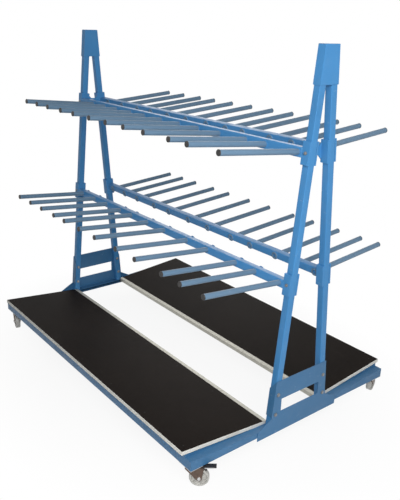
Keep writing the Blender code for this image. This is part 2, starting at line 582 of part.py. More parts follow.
# Casters: the top plate stays square to the cart, and the rest turns with an empty on the swivel axis
for name, turn in CASTER_TURN.items():
    e = 1 if name.startswith("near") else -1
    s = 1 if name.endswith("rear") else -1
    swivel = bpy.data.objects.new("swivel_" + name, None)
    swivel.location = (e * CASTER_X, s * CASTER_Y, 0)
    swivel.rotation_euler = (0, 0, turn)
    parts.objects.link(swivel)

    lay = Matrix.Translation((e * CASTER_X, s * CASTER_Y, 0))
    top = box("caster_plate_" + name, (CASTER_PLATE_X, CASTER_PLATE_Y, CASTER_PLATE_T),
              (0, 0, PLATE_TOP - CASTER_PLATE_T / 2), "zinc_steel", lay)
    race_low = PLATE_FOOT - RACE_H
    race_span = ((0, 0, race_low), (0, 0, PLATE_TOP - CASTER_PLATE_T / 2), RACE_R)
    race = rods("race_" + name, [race_span], RACE_SIDES, None, lay)
    combine(top, race, "UNION")
    bore_span = ((0, 0, race_low - SHEET), (0, 0, PLATE_FOOT), PIN_R + HOLE_CLEARANCE)
    pin_bore = rods("pin_bore_" + name, [bore_span], PIN_SIDES, None, lay)
    combine(top, pin_bore, "DIFFERENCE")

    # Fork: cheeks that reach back to the axle, joined by a crown with the swivel pin on top
    stand = Matrix(((1, 0, 0, 0), (0, 0, -1, 0), (0, 1, 0, 0), (0, 0, 0, 1)))
    crown_low = CROWN_UNDER - FORK_PLATE_T
    outline = [(-FORK_CROWN_R, FORK_TOP), (-FORK_CROWN_R, crown_low)]
    for k in range(FORK_EYE_STEPS + 1):
        a = FORK_EYE_START + FORK_EYE_SWEEP * k / FORK_EYE_STEPS
        outline.append((TRAIL + FORK_EYE_R * cos(a), WHEEL_R + FORK_EYE_R * sin(a)))
    pivot_z = FORK_TOP + PEDAL_PIVOT_DROP
    if name in CASTER_BRAKED:
        outline += [(PEDAL_PIVOT_X + PEDAL_EAR_R, pivot_z - PEDAL_EAR_R),
                    (PEDAL_PIVOT_X + PEDAL_EAR_R, pivot_z), (PEDAL_PIVOT_X, pivot_z + PEDAL_EAR_R),
                    (PEDAL_PIVOT_X - PEDAL_EAR_R, pivot_z), (PEDAL_PIVOT_X - 2 * PEDAL_EAR_R, FORK_TOP)]
    else:
        outline += [(TRAIL, crown_low), (TRAIL, FORK_TOP)]
    fork = plate("caster_fork_" + name, [outline], 2 * FORK_HALF_OUT, "fork_steel", stand, swivel)
    room_end = TRAIL + WHEEL_R
    room = box("fork_room_" + name, (room_end + 2 * FORK_CROWN_R, 2 * FORK_HALF_IN, CROWN_UNDER),
               (room_end / 2 - FORK_CROWN_R, 0, CROWN_UNDER / 2), None, Matrix(), swivel)
    combine(fork, room, "DIFFERENCE")
    pin_span = ((0, 0, FORK_TOP - FORK_PLATE_T / 2), (0, 0, PLATE_FOOT - GAP), PIN_R)
    pin = rods("pin_" + name, [pin_span], PIN_SIDES, None, Matrix(), swivel)
    combine(fork, pin, "UNION")
    eye_span = ((TRAIL, -WHEEL_R, WHEEL_R), (TRAIL, WHEEL_R, WHEEL_R), AXLE_R + HOLE_CLEARANCE)
    eye = rods("axle_hole_" + name, [eye_span], AXLE_SIDES, None, Matrix(), swivel)
    combine(fork, eye, "DIFFERENCE")

    # Wheel with a recessed web on both faces; its own Z is the axle
    sideways = Matrix.Translation((TRAIL, 0, WHEEL_R)) @ Matrix.Rotation(-pi / 2, 4, "X")
    bore = AXLE_R + HOLE_CLEARANCE
    half = [(bore, WHEEL_HUB_W / 2), (WHEEL_HUB_R, WHEEL_HUB_W / 2), (WHEEL_HUB_R, WHEEL_WEB_W / 2),
            (WHEEL_RIM_INNER_R, WHEEL_WEB_W / 2), (WHEEL_RIM_INNER_R, WHEEL_W / 2),
            (WHEEL_R - WHEEL_SHOULDER, WHEEL_W / 2), (WHEEL_R, WHEEL_W / 2 - WHEEL_SHOULDER)]
    profile = half + [(r, -h) for r, h in reversed(half)]
    turned("caster_wheel_" + name, profile, WHEEL_SIDES, "grey_nylon", sideways, swivel, closed=True)
    seat = FORK_HALF_OUT + GAP
    half = [(0, seat + AXLE_HEAD_H), (AXLE_HEAD_R, seat + AXLE_HEAD_H), (AXLE_HEAD_R, seat), (AXLE_R, seat)]
    profile = half + [(r, -h) for r, h in reversed(half)]
    turned("caster_axle_" + name, profile, AXLE_SIDES, "zinc_steel", sideways, swivel)

    # Brake pedal, drawn round its own pivot
    if name in CASTER_BRAKED:
        slack = PEDAL_PIVOT_R + HOLE_CLEARANCE
        ear_span = ((PEDAL_PIVOT_X, -WHEEL_R, pivot_z), (PEDAL_PIVOT_X, WHEEL_R, pivot_z), slack)
        ear_hole = rods("ear_hole_" + name, [ear_span], AXLE_SIDES, None, Matrix(), swivel)
        combine(fork, ear_hole, "DIFFERENCE")
        notch_x = (FORK_CROWN_R, room_end)
        notch_z = (crown_low, pivot_z + 2 * PEDAL_EAR_R)
        size = (notch_x[1] - notch_x[0], 2 * FORK_HALF_IN, notch_z[1] - notch_z[0])
        centre = (sum(notch_x) / 2, 0, sum(notch_z) / 2)
        notch = box("pedal_notch_" + name, size, centre, None, Matrix(), swivel)
        combine(fork, notch, "DIFFERENCE")
        shoe_x = PEDAL_SHOE_X - PEDAL_SHOE_T / 2 + PEDAL_PIVOT_X - TRAIL
        tread = WHEEL_R + (WHEEL_R ** 2 - shoe_x ** 2) ** 0.5 - pivot_z
        shoe_low = tread + PEDAL_SHOE_GAP
        boss = PEDAL_BOSS_R
        outline = [(-boss, -boss / 2), (0, -boss), (PEDAL_SHOE_X - PEDAL_SHOE_T / 2, -boss),
                   (PEDAL_SHOE_X - PEDAL_SHOE_T / 2, shoe_low), (PEDAL_SHOE_X + PEDAL_SHOE_T / 2, shoe_low),
                   (PEDAL_SHOE_X + PEDAL_SHOE_T / 2, 0), (PEDAL_TOE, PEDAL_TOE_RISE - PEDAL_TOE_T),
                   (PEDAL_TOE, PEDAL_TOE_RISE), (PEDAL_SHOE_X, boss), (0, boss), (-boss, boss / 2)]
        lay = Matrix.Translation((PEDAL_PIVOT_X, 0, pivot_z)) @ stand
        pedal = plate("brake_pedal_" + name, [outline], PEDAL_W, "black_plastic", lay, swivel)
        pin_span = ((0, -FORK_HALF_OUT, 0), (0, FORK_HALF_OUT, 0), PEDAL_PIVOT_R)
        pivot_pin = rods("pivot_pin_" + name, [pin_span], AXLE_SIDES, None,
                         Matrix.Translation((PEDAL_PIVOT_X, 0, pivot_z)), swivel)
        combine(pedal, pivot_pin, "UNION")
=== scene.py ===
import bmesh
import bpy
import json
import random
from math import cos, pi, radians, sin, sqrt
from mathutils import Matrix, Vector


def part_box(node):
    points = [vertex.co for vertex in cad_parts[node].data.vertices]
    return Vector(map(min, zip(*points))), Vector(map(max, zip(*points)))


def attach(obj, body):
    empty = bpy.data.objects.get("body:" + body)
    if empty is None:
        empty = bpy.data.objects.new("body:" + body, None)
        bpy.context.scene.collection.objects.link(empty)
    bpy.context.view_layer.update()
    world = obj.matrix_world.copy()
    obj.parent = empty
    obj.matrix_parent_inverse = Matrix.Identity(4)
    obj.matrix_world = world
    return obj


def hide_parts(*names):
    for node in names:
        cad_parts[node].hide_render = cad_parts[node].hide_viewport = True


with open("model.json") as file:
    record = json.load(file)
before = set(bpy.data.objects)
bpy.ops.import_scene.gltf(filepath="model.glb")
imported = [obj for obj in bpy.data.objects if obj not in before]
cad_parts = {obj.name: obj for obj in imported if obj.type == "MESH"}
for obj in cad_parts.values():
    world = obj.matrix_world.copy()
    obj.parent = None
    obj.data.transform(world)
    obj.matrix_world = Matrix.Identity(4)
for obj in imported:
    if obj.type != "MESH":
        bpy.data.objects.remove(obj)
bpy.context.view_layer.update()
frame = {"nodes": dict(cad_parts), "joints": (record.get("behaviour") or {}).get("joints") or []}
NODES = frame["nodes"]
JOINTS = {joint["name"]: joint for joint in frame["joints"]}
ENDS = (("near", 1), ("far", -1))
SIDES = (("front", -1), ("rear", 1))
CORNERS = tuple(end + "_" + side for end, _ in ENDS for side, _ in SIDES)
LEVELS = ("lower", "upper")
BOLT_LEVELS = ("low", "high")
CHASSIS = "chassis"
LATERAL = Vector((1, 0, 0))
UP = Vector((0, 0, 1))
SEED = 7

# Camera, worked out from the photograph: where it stands, how it is turned and its field of view
CAMERA_AT = Vector((2.9942, -2.2425, 2.1272))
CAMERA_YAW = 0.8928
CAMERA_PITCH = -0.3499
CAMERA_ROLL = 0.0294
CAMERA_LENS_MM = 45.09
CAMERA_SENSOR_MM = 36.0
CAMERA_FAR = 60.0

# Lights: name, place, target, diameter and power
LIGHTS = (
    ("key", (3.3, -1.6, 2.8), (0.4, 0, 0.8), 2.6, 128),
    ("fill", (2.4, -2.9, 2.2), (0.7, 0, 1.0), 1.8, 22),
    ("back", (-3.2, 3.4, 2.4), (0, 0, 0.9), 3.0, 42),
)
LAMP_WHITE = (1.0, 0.985, 0.965)
WORLD_LIGHT = 0.16
WORLD_SEEN = 1.0

# Floor: nearly white under the cart, so its shadow shows, and all white beyond it
FLOOR_HALF = 60.0
FLOOR_TONE = (0.86, 0.86, 0.86)
FLOOR_GLOW = (1.0, 1.0, 1.0)
FLOOR_SHAPE = (0.80, 1.05, 1.0)
FLOOR_FADE = (0.85, 1.45)
FLOOR_WHITE = 0.90

# Colours of the finishes, linear
BLUE = (0.052, 0.215, 0.465)
# The blue made darker for the low frame and its gussets: painted shade for the dimmer light near the floor
# and under the decks
SHADED_LOW_BLUE = (0.046, 0.150, 0.300)
PEG_BLUE = (0.115, 0.200, 0.300)
FILM = (0.0080, 0.0053, 0.0039)
BIRCH = (0.74, 0.75, 0.72)
BIRCH_DARK = (0.50, 0.47, 0.40)
TRIM = (0.42, 0.41, 0.365)
ZINC = (0.62, 0.63, 0.64)
BRONZE = (0.150, 0.108, 0.088)
NYLON = (0.43, 0.43, 0.41)
BLACK = (0.011, 0.010, 0.010)

# Colours of the wear on them, linear
DUST = (0.30, 0.33, 0.36)
RUBBED = (0.42, 0.50, 0.58)
NICKED = (0.20, 0.22, 0.24)
SCUFFED_FILM = (0.028, 0.024, 0.021)
GRITTY_FILM = (0.036, 0.031, 0.026)
GRIME = (0.23, 0.22, 0.20)

# Factors on a finish's own colour
BEAM_SHADE = 1.05
DULL_SHADE = 0.45
BLACKED_SHADE = 0.06
STAINED_PLY_SHADE = 0.8
STAINED_METAL_SHADE = 0.45
MOULDED_SHADE = 2.6

# How much rougher a fully worn spot is
RUB_DULLS = 0.25
STREAK_DULLS = 0.22
STAIN_DULLS = 0.25

# Patterns that repeat at a fixed size
PLY_T = 0.0014
WEAVE_PITCH = 0.007
CRYSTAL_SCALE = 260.0
CRYSTAL_WEIGHTS = Vector((0.4, 0.3, 0.3))
CRYSTAL_SPREAD = 0.06

# Numbers of the sockets of a colour mixing node
MIX_SHARE, MIX_A, MIX_B, MIX_RESULT = 0, 6, 7, 2

# Edges and shading
EDGE_ROUND = 0.0007
EDGE_STEPS = 2
BEVEL_ANGLE = radians(28)
SMOOTH_ANGLE = radians(32)
WELD_WITHIN = 0.00002
SEAT = 0.0002
RIM_STEPS = 3

# Pegs and their end caps
PEG_SIDES = 28
PEG_CAP_LIP = 0.005
PEG_CAP_PROUD = 0.0006
PEG_CAP_ROUND_SHARE = 0.6
PEG_CAP_ROUND_STEPS = 4
PEG_CAP_FLAT_SHARE = 0.3
COLLAR_CHAMFER = 0.0015

# How a peg beam's points are told apart: depths of its tips, heels and end, and the gap between pegs
TIP_DEPTH = 0.02
HEEL_DEPTH = 0.004
END_DEPTH = 0.001
PEG_APART = 0.05

# Peg beams
BEAM_WALL = 0.003
BEAM_CORNER = 0.0045
CORNER_STEPS = 6

# Weld beads
BEAD_R = 0.0021
BEAD_RIPPLE = 0.0004
BEAD_PITCH = 0.0055
BEAD_SIDES = 6
BEAD_RING_LEAST = 6
BEAD_RUN_LEAST = 4
BEAD_RUN_INSET = 0.08

# Deck screws
SCREW_HEAD_R = 0.0036
SCREW_RECESS = 0.0018
SCREW_RECESS_TAPER = 0.6
SCREW_CONE_SHARE = 0.8
SCREW_SIDES = 16
SCREW_PITCH = 0.300
SCREW_EDGE = 0.040
SCREW_INNER_EDGE = 1.5 * SCREW_EDGE

# Bolts and washers
M8_HEAD_R = 0.0075
M8_HEAD_H = 0.0053
M8_WASHER_R = 0.0085
M10_HEAD_R = 0.0098
M10_WASHER_R = 0.0105
WASHER_T = 0.0016
WASHER_SIDES = 24
HEX_SIDES = 6
HEX_SIDE_SHARE = 0.82
HEX_TOP_SHARE = 0.92
SADDLE_NEAR = 0.06

# Wheels: shares of the radius or of the half width, and the small steps of the casting
WHEEL_SIDES = 72
TREAD_SHARE = 0.9
RIM_SHARE = 0.78
HUB_SHARE = 0.32
WEB_SHARE = 0.42
CROWN = ((0.0055, 0.0), (0.0025, 0.0009), (0.0007, 0.0035), (0.0, 0.009))
COVER_W = 0.004
COVER_FOOT = 0.0045
COVER_PROUD = 0.001
HUB_DROP = 0.003
CAST_ROUND = 0.002
RIM_LIP = 0.001
RIB_COUNT = 6
RIB_TURN = 0.2
RIB_T = 0.004
RIB_OVERLAP = 0.004
RIB_SET_BACK = 0.003
RIB_ROUND = 0.0008

# The rest of a caster
SHANK_SHARE = 0.58
SHANK_SIDES = 20
RACE_RING = ((0.0245, -0.0006), (0.0262, -0.0006), (0.0268, 0.0006), (0.0262, 0.0052), (0.0245, 0.0056))
RACE_SIDES = 40
STRAP_T = 0.0006
STRAP_H = 0.0045
STRAP_FROM = 0.010
STRAP_END_SHARE = 0.82
STRAP_RISE = 0.0035


# Shader graphs
class Graph:
    """A Principled material, with a short call for each kind of node that these finishes use."""

    def __init__(self, name):
        self.material = bpy.data.materials.new(name)
        self.material.use_nodes = True
        self.tree = self.material.node_tree
        self.shader = self.tree.nodes["Principled BSDF"]
        self.place = self.node("ShaderNodeTexCoord").outputs["Object"]

    def node(self, kind, **settings):
        made = self.tree.nodes.new(kind)
        for key, value in settings.items():
            setattr(made, key, value)
        return made

    def feed(self, socket, value):
        if isinstance(value, bpy.types.NodeSocket):
            self.tree.links.new(value, socket)
        elif socket.type == "RGBA":
            socket.default_value = (*value, 1)
        else:
            socket.default_value = value

    def math(self, operation, a, b=0.0):
        made = self.node("ShaderNodeMath", operation=operation)
        self.feed(made.inputs[0], a)
        self.feed(made.inputs[1], b)
        return made.outputs[0]

    def dot(self, source, direction):
        made = self.node("ShaderNodeVectorMath", operation="DOT_PRODUCT")
        self.feed(made.inputs[0], source)
        self.feed(made.inputs[1], direction)
        return made.outputs["Value"]

    def stretched(self, scale):
        made = self.node("ShaderNodeMapping")
        self.feed(made.inputs["Vector"], self.place)
        self.feed(made.inputs["Scale"], scale)
        return made.outputs["Vector"]

    def noise(self, scale, detail, roughness=0.5, source=None):
        made = self.node("ShaderNodeTexNoise")
        self.feed(made.inputs["Vector"], source or self.place)
        self.feed(made.inputs["Scale"], scale)
        self.feed(made.inputs["Detail"], detail)
        self.feed(made.inputs["Roughness"], roughness)
        return made.outputs["Fac"]

    def span(self, value, low, high, to_low=0.0, to_high=1.0):
        made = self.node("ShaderNodeMapRange", clamp=True)
        self.feed(made.inputs["Value"], value)
        for socket, number in zip(("From Min", "From Max", "To Min", "To Max"), (low, high, to_low, to_high)):
            self.feed(made.inputs[socket], number)
        return made.outputs["Result"]

    def patch(self, scale, detail, low, high, to_low=0.0, to_high=1.0, roughness=0.5, source=None):
        """Noise read as a mask: to_low where it is under low, and to_high where it is over high."""
        return self.span(self.noise(scale, detail, roughness, source), low, high, to_low, to_high)

    def mix(self, share, a, b):
        made = self.node("ShaderNodeMix", data_type="RGBA")
        self.feed(made.inputs[MIX_SHARE], share)
        self.feed(made.inputs[MIX_A], a)
        self.feed(made.inputs[MIX_B], b)
        return made.outputs[MIX_RESULT]

    def bump(self, height, depth, strength, under=None):
        made = self.node("ShaderNodeBump")
        self.feed(made.inputs["Height"], height)
        self.feed(made.inputs["Distance"], depth)
        self.feed(made.inputs["Strength"], strength)
        if under:
            self.feed(made.inputs["Normal"], under)
        return made.outputs["Normal"]

    def finish(self, colour, rough, metal=0.0, normal=None, specular=0.5):
        self.feed(self.shader.inputs["Base Color"], colour)
        self.feed(self.shader.inputs["Roughness"], rough)
        self.feed(self.shader.inputs["Metallic"], metal)
        self.feed(self.shader.inputs["Specular IOR Level"], specular)
        if normal:
            self.feed(self.shader.inputs["Normal"], normal)
        return self.material


def shade(colour, factor):
    return tuple(channel * factor for channel in colour)


def shades(colour, dark, pale):
    """A darker and a paler tone of one colour."""
    return shade(colour, dark), shade(colour, pale)


def blend(a, b, share):
    return tuple(x + (y - x) * share for x, y in zip(a, b))


def powder_coat(name, tone):
    """Even colour, faint clouds, an orange-peel skin, and pale dull rubs where loads have brushed past."""
    g = Graph(name)
    cloud = g.patch(scale=2.6, detail=2, low=0.3, high=0.7)
    colour = g.mix(cloud, *shades(tone, dark=0.93, pale=1.07))
    dust = g.patch(scale=11, detail=6, roughness=0.65, low=0.52, high=0.80, to_high=0.35)
    colour = g.mix(dust, colour, blend(tone, DUST, share=0.20))
    brushed = g.stretched((0.35, 1.0, 1.6))
    rub = g.patch(scale=38, detail=5, roughness=0.7, source=brushed, low=0.63, high=0.72, to_high=0.40)
    colour = g.mix(rub, colour, blend(tone, RUBBED, share=0.5))
    nick = g.patch(scale=160, detail=2, low=0.735, high=0.76, to_high=0.8)
    colour = g.mix(nick, colour, NICKED)
    even = g.patch(scale=24, detail=4, low=0.3, high=0.7, to_low=0.32, to_high=0.46)
    rough = g.math("ADD", even, g.math("MULTIPLY", rub, RUB_DULLS))
    peel = g.bump(g.noise(scale=620, detail=2), depth=0.0002, strength=0.30)
    worn = g.bump(rub, depth=-0.00008, strength=0.4, under=peel)
    return g.finish(colour, rough, normal=worn, specular=0.25)


def welded_bead(name, tone):
    """The same coat over a rough weld."""
    g = Graph(name)
    colour = g.mix(g.patch(scale=300, detail=4, low=0.35, high=0.7), *shades(tone, dark=0.78, pale=1.10))
    lumps = g.bump(g.noise(scale=420, detail=4), depth=0.0006, strength=0.5)
    return g.finish(colour, rough=0.42, normal=lumps)


def filmed_ply(name, up):
    """Dark film with a fine woven imprint above and below, and sealed edges that show the plies."""
    g = Graph(name)
    normal = g.node("ShaderNodeNewGeometry").outputs["Normal"]
    on_film = g.span(g.math("ABSOLUTE", g.dot(normal, up)), low=0.80, high=0.86)
    cloud = g.patch(scale=3.1, detail=4, roughness=0.6, low=0.30, high=0.72)
    film = g.mix(cloud, *shades(FILM, dark=0.80, pale=1.30))
    dragged = g.stretched((0.25, 1.5, 1.0))
    streak = g.patch(scale=16, detail=6, roughness=0.75, source=dragged, low=0.58, high=0.78, to_high=0.55)
    film = g.mix(streak, film, SCUFFED_FILM)
    grit = g.patch(scale=210, detail=3, roughness=0.6, low=0.66, high=0.76, to_high=0.45)
    film = g.mix(grit, film, GRITTY_FILM)

    layer = g.math("SINE", g.math("MULTIPLY", g.dot(g.place, up), pi / PLY_T))
    grain = g.noise(scale=46, detail=4, roughness=0.6, source=g.stretched((0.4, 0.4, 6.0)))
    wavy = g.math("ADD", layer, g.span(grain, low=0.3, high=0.7, to_low=-0.5, to_high=0.5))
    plies = g.mix(g.span(wavy, low=-0.3, high=0.9, to_high=0.60), BIRCH, BIRCH_DARK)
    stain = g.patch(scale=9, detail=5, roughness=0.6, low=0.50, high=0.75, to_high=0.45)
    plies = g.mix(stain, plies, shade(BIRCH_DARK, STAINED_PLY_SHADE))
    colour = g.mix(on_film, plies, film)

    wires = [g.math("SINE", g.math("MULTIPLY", g.dot(g.place, Vector((1, way, 0))), 2 * pi / WEAVE_PITCH))
             for way in (1, -1)]
    weave = g.math("MULTIPLY", g.math("MAXIMUM", *wires), on_film)
    even = g.span(on_film, low=0.0, high=1.0, to_low=0.62, to_high=0.50)
    rough = g.math("ADD", even, g.math("MULTIPLY", streak, STREAK_DULLS))
    fibres = g.bump(grain, depth=0.0002, strength=0.2)
    imprint = g.bump(weave, depth=0.00025, strength=0.5, under=fibres)
    return g.finish(colour, rough, normal=imprint, specular=0.03)


def plated(name, tone, rough, stained):
    """Plated or bare metal: faint crystals, stained darker and duller in places."""
    g = Graph(name)
    cells = g.node("ShaderNodeTexVoronoi")
    g.feed(cells.inputs["Vector"], g.place)
    g.feed(cells.inputs["Scale"], CRYSTAL_SCALE)
    crystal = g.dot(cells.outputs["Color"], CRYSTAL_WEIGHTS)
    colour = g.mix(crystal, *shades(tone, dark=0.88, pale=1.06))
    stain = g.patch(scale=60, detail=5, roughness=0.6, low=0.48, high=0.75, to_high=stained)
    colour = g.mix(stain, colour, shade(tone, STAINED_METAL_SHADE))
    even = g.span(crystal, low=0.0, high=1.0, to_low=rough - CRYSTAL_SPREAD, to_high=rough + CRYSTAL_SPREAD)
    roughness = g.math("ADD", even, g.math("MULTIPLY", stain, STAIN_DULLS))
    skin_marks = g.bump(g.noise(scale=900, detail=2), depth=0.00005, strength=0.3)
    return g.finish(colour, roughness, metal=0.92, normal=skin_marks)


def nylon(name):
    """Cast wheel: pale grey, with grime in patches."""
    g = Graph(name)
    colour = g.mix(g.patch(scale=45, detail=3, low=0.3, high=0.7), *shades(NYLON, dark=0.95, pale=1.05))
    grime = g.patch(scale=60, detail=3, low=0.50, high=0.75, to_high=0.30)
    colour = g.mix(grime, colour, GRIME)
    rough = g.span(grime, low=0.0, high=1.0, to_low=0.40, to_high=0.65)
    return g.finish(colour, rough, normal=g.bump(g.noise(scale=500, detail=3), depth=0.0001, strength=0.4))


def moulded(name, tone):
    """Black moulding with a fine spark-eroded grain."""
    g = Graph(name)
    colour = g.mix(g.patch(scale=70, detail=4, low=0.4, high=0.8), tone, shade(tone, MOULDED_SHADE))
    rough = g.patch(scale=90, detail=3, low=0.3, high=0.7, to_low=0.42, to_high=0.60)
    return g.finish(colour, rough, normal=g.bump(g.noise(scale=1400, detail=2), depth=0.0001, strength=0.5))


PAINT = powder_coat("blue_powder_coat", BLUE)
# A darker copy of the blue, which paints shade onto the low frame
SHADED_LOW_PAINT = powder_coat("low_frame_coat_with_painted_shade", SHADED_LOW_BLUE)
BEAM_PAINT = powder_coat("beam_powder_coat", shade(BLUE, BEAM_SHADE))
PEG_PAINT = powder_coat("peg_powder_coat", PEG_BLUE)
WELD_PAINT = welded_bead("coated_weld", shade(BLUE, BEAM_SHADE))
ZINC_FINISH = plated("bright_zinc", ZINC, rough=0.30, stained=0.25)
DULL_ZINC_FINISH = plated("dull_zinc", shade(ZINC, DULL_SHADE), rough=0.50, stained=0.5)
DARK_SCREW_FINISH = plated("blacked_screw", shade(ZINC, BLACKED_SHADE), rough=0.60, stained=0.4)
TRIM_FINISH = plated("mill_aluminium", TRIM, rough=0.50, stained=0.3)
BRONZE_FINISH = plated("bronze_zinc", BRONZE, rough=0.38, stained=0.5)
NYLON_FINISH = nylon("cast_nylon")
BLACK_FINISH = moulded("black_moulding", BLACK)


# Mesh helpers
def shown(name, data):
    """A new object of the scene that shows data."""
    obj = bpy.data.objects.new(name, data)
    bpy.context.scene.collection.objects.link(obj)
    return obj


def piece(name, bm, material, body, smooth=True):
    """A piece of the cart from bm, which rides on body."""
    mesh = bpy.data.meshes.new(name)
    bmesh.ops.recalc_face_normals(bm, faces=bm.faces)
    bm.to_mesh(mesh)
    bm.free()
    mesh.materials.append(material)
    obj = shown(name, mesh)
    if smooth:
        mesh.shade_smooth()
        mesh.set_sharp_from_angle(angle=SMOOTH_ANGLE)
    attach(obj, body)
    return obj


def axes_along(direction, origin):
    """A matrix at origin whose Z runs along direction."""
    return Matrix.Translation(origin) @ Vector(direction).to_track_quat("Z", "Y").to_matrix().to_4x4()


def circle(place, radius, height, sides):
    """Points of a circle about the local Z of place."""
    return [place @ Vector((radius * cos(2 * pi * k / sides), radius * sin(2 * pi * k / sides), height))
            for k in range(sides)]


def skin(bm, rings, closed=False):
    """Faces between rings of equal length; closed joins the last to the first, else both ends get a face."""
    for low, high in zip(rings, rings[1:] + rings[:1] if closed else rings[1:]):
        for k in range(len(low)):
            j = (k + 1) % len(low)
            bm.faces.new((low[k], low[j], high[j], high[k]))
    if not closed:
        bm.faces.new(list(reversed(rings[0])))
        bm.faces.new(rings[-1])


def turned(bm, profile, place, sides, closed=False):
    """Turns (radius, height) points about the local Z of place; closed joins the last point to the first."""
    rings = [[bm.verts.new(point) for point in circle(place, radius, height, sides)]
             for radius, height in profile]
    skin(bm, rings, closed)


def rounded(radius, height, rim, steps=RIM_STEPS):
    """The end of a turned profile: up a side of that radius and over a rounded rim to the height."""
    return [(radius - rim + rim * cos(pi / 2 * k / steps), height - rim + rim * sin(pi / 2 * k / steps))
            for k in range(steps + 1)]


def hex_bolt(bm, place, radius, height, washer_r, spin):
    """A washer and a hexagonal head whose corners are cut by a cone, on the local XY plane of place."""
    turned(bm, [(washer_r, 0)] + rounded(washer_r, WASHER_T, WASHER_T / 3), place, WASHER_SIDES)
    turn = place @ Matrix.Rotation(spin, 4, "Z")
    flats = radius * cos(pi / HEX_SIDES)
    profile = [(radius, WASHER_T), (radius, WASHER_T + height * HEX_SIDE_SHARE),
               (flats * HEX_TOP_SHARE, WASHER_T + height)]
    turned(bm, profile, turn, HEX_SIDES)


def bead(bm, points, closed, generator):
    """A weld bead: a thin rippled rod along points."""
    rings = []
    count = len(points)
    for k, point in enumerate(points):
        before = points[(k - 1) % count] if closed or k else point
        after = points[(k + 1) % count] if closed or k < count - 1 else point
        place = axes_along(after - before, point)
        r = BEAD_R + BEAD_RIPPLE * (k % 2 * 2 - 1) + generator.uniform(-1, 1) * BEAD_RIPPLE / 2
        rings.append([bm.verts.new(spot) for spot in circle(place, r, 0, BEAD_SIDES)])
    skin(bm, rings, closed)


def ring_points(place, radius):
    """Points for a bead around a tube, an even number of them."""
    return circle(place, radius, 0, 2 * max(BEAD_RING_LEAST, round(pi * radius / BEAD_PITCH)))


def run_points(start, end):
    """Points for a straight bead."""
    count = max(BEAD_RUN_LEAST, round((end - start).length / BEAD_PITCH * 2))
    return [start.lerp(end, k / count) for k in range(count + 1)]


# What is read from the solids
def clusters(points, gap):
    """Groups of points that lie close together along X."""
    groups = []
    for point in sorted(points, key=lambda p: p.x):
        if groups and point.x - groups[-1][-1].x < gap:
            groups[-1].append(point)
        else:
            groups.append([point])
    return groups


def middle(points):
    return sum(points, Vector()) / len(points)


def corners_of(node):
    return [v.co.copy() for v in NODES[node].data.vertices]


def joint_line(name):
    """A joint's axis and a point on it."""
    joint = JOINTS[name]
    return Vector(joint["axis"]).normalized(), Vector(joint["pos_m"])


def deck_up(side):
    """The board's normal, that of its widest face, which is its top or its underside."""
    widest = max(NODES["deck_" + side].data.polygons, key=lambda face: face.area).normal
    return widest.copy() if widest.z > 0 else -widest


def leg_centre(end, side, s, z):
    """The middle of a leg at height z and how much it leans, from the leg's own box."""
    low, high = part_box("leg_%s_%s" % (end, side))
    foot_out, top_in = (-low.y, -high.y) if s < 0 else (high.y, low.y)
    half = (high.x - low.x) / 2
    slope = (foot_out - top_in - 2 * half) / (high.z - low.z)
    half *= sqrt(1 + slope * slope)
    slope = (foot_out - top_in - 2 * half) / (high.z - low.z)
    return Vector(((low.x + high.x) / 2, s * (foot_out - half - slope * (z - low.z)), z)), slope


# Solids that keep their shape: finer edges and a finish
def dress(node, material, rounding=EDGE_ROUND):
    obj = NODES[node]
    for name in ("custom_normal", "sharp_edge", "sharp_face"):
        if name in obj.data.attributes:
            obj.data.attributes.remove(obj.data.attributes[name])
    obj.data.shade_smooth()
    obj.material_slots[0].material = material
    weld = obj.modifiers.new("weld", "WELD")
    weld.merge_threshold = WELD_WITHIN
    edge = obj.modifiers.new("edge", "BEVEL")
    edge.width = rounding
    edge.segments = EDGE_STEPS
    edge.limit_method = "ANGLE"
    edge.angle_limit = BEVEL_ANGLE
    even = obj.modifiers.new("even", "WEIGHTED_NORMAL")
    even.keep_sharp = True


def dress_solids():
    for node in NODES:
        if node.startswith(("leg_", "cap_sleeve", "saddle")):
            dress(node, PAINT)
        # The low frame and gussets get the darker blue, their shade painted into the colour
        elif node.startswith(("end_beam", "side_rail", "inner_rail", "bearer", "foot_gusset")):
            dress(node, SHADED_LOW_PAINT)
        elif node.startswith("edge_trim"):
            dress(node, TRIM_FINISH, EDGE_ROUND / 2)
        elif node.startswith("caster_plate"):
            dress(node, ZINC_FINISH)
        elif node.startswith("caster_fork"):
            dress(node, BRONZE_FINISH)
        elif node.startswith("brake_pedal"):
            dress(node, BLACK_FINISH)
    for side, _ in SIDES:
        dress("deck_" + side, filmed_ply("filmed_ply_" + side, deck_up(side)), EDGE_ROUND / 2)


